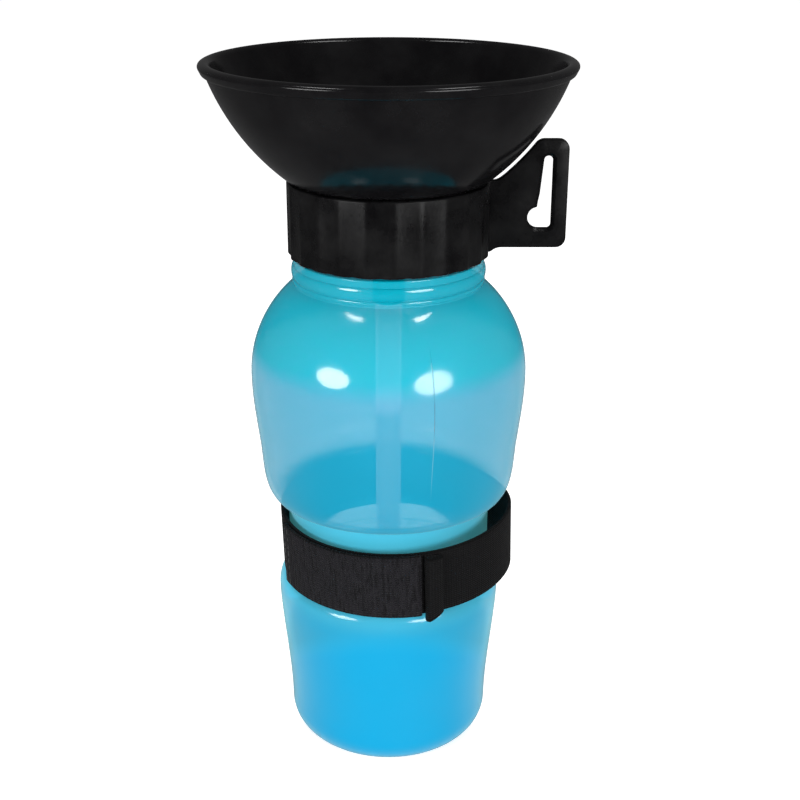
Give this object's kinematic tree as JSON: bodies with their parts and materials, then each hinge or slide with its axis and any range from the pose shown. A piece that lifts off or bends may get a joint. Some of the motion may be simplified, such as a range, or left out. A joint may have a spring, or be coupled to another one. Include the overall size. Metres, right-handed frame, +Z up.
{
  "type": "dog travel water bottle",
  "caption": "Squeeze water bottle for dogs with a drinking bowl on top, fluted screw collar with hanging tab, dip tube, shut-off dial and hook-and-loop strap.",
  "frame": {"origin": "centre of the foot ring, on the surface that the bottle stands on", "axes": "+Z up along the bottle's axis, -Y towards the front with the strap's overlap, +X towards the hanging tab"},
  "size_m": [0.1104, 0.1104, 0.223],
  "materials": {
    "bottle_plastic": "translucent blue, semi-gloss",
    "bowl_plastic": "glossy black",
    "collar_plastic": "satin black",
    "tube_plastic": "clear to milky",
    "silicone": "matt translucent white",
    "webbing": "black woven loop tape",
    "hook_tape": "black ribbed hook tape"
  },
  "bodies": {
    "bottle": {"bottle": "bottle_plastic"},
    "gasket": {"mouth_gasket": "silicone"},
    "bowl": {"bowl": "bowl_plastic", "dip_tube": "tube_plastic", "seal_rings": "silicone"},
    "collar": {"screw_collar": "collar_plastic"},
    "dial": {"shutoff_dial": "collar_plastic"},
    "strap": {"strap_band": "webbing"},
    "flap": {"hook_tape": "hook_tape", "pull_end": "webbing"}
  },
  "joints": [
    {"name": "head_lift", "type": "slide", "parent": "bottle", "child": "gasket", "axis": [0, 0, 1], "range_m": [0, 0.145]},
    {"name": "thread_rise", "type": "slide", "parent": "gasket", "child": "bowl", "axis": [0, 0, 1], "range_m": [0, 0.005]},
    {"name": "collar_turn", "type": "hinge", "parent": "bowl", "child": "collar", "pos_m": [0, 0, 0.177], "axis": [0, 0, 1], "range_deg": [0, 450]},
    {"name": "dial_turn", "type": "hinge", "parent": "bowl", "child": "dial", "pos_m": [0, 0, 0.196], "axis": [0, 0, 1], "range_deg": [0, 90]},
    {"name": "strap_turn", "type": "hinge", "parent": "bottle", "child": "strap", "pos_m": [0, 0, 0.0726], "axis": [0, 0, 1], "continuous": true},
    {"name": "strap_peel", "type": "hinge", "parent": "strap", "child": "flap", "pos_m": [-0.03206, -0.01495, 0.07105], "axis": [0.0279, 0.0436, -0.9987], "range_deg": [0, 100]}
  ],
  "couplings": [
    {"joint": "thread_rise", "follows": "collar_turn", "m_per_rad": 0.000636}
  ]
}
